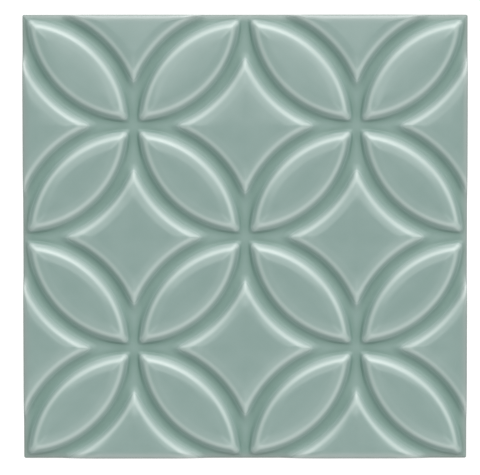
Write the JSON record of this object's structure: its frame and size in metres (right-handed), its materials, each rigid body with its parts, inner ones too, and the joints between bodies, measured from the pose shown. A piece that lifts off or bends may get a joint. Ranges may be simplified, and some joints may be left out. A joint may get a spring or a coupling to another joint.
{
  "type": "ceramic wall tile",
  "caption": "Square glazed ceramic wall tile with a pressed relief of overlapping circles: pointed petals and four-pointed diamonds between shallow curved grooves.",
  "frame": {"origin": "centre of the back face, on the level that the back's keying lands rest on", "axes": "+Z out of the glazed face; +X and +Y along the tile's sides, with +Y towards the upper side in the picture"},
  "size_m": [0.148, 0.148, 0.009],
  "materials": {
    "glazed_ceramic": "pale grey-green gloss glaze"
  },
  "bodies": {
    "root": {"tile": "glazed_ceramic"}
  },
  "joints": []
}
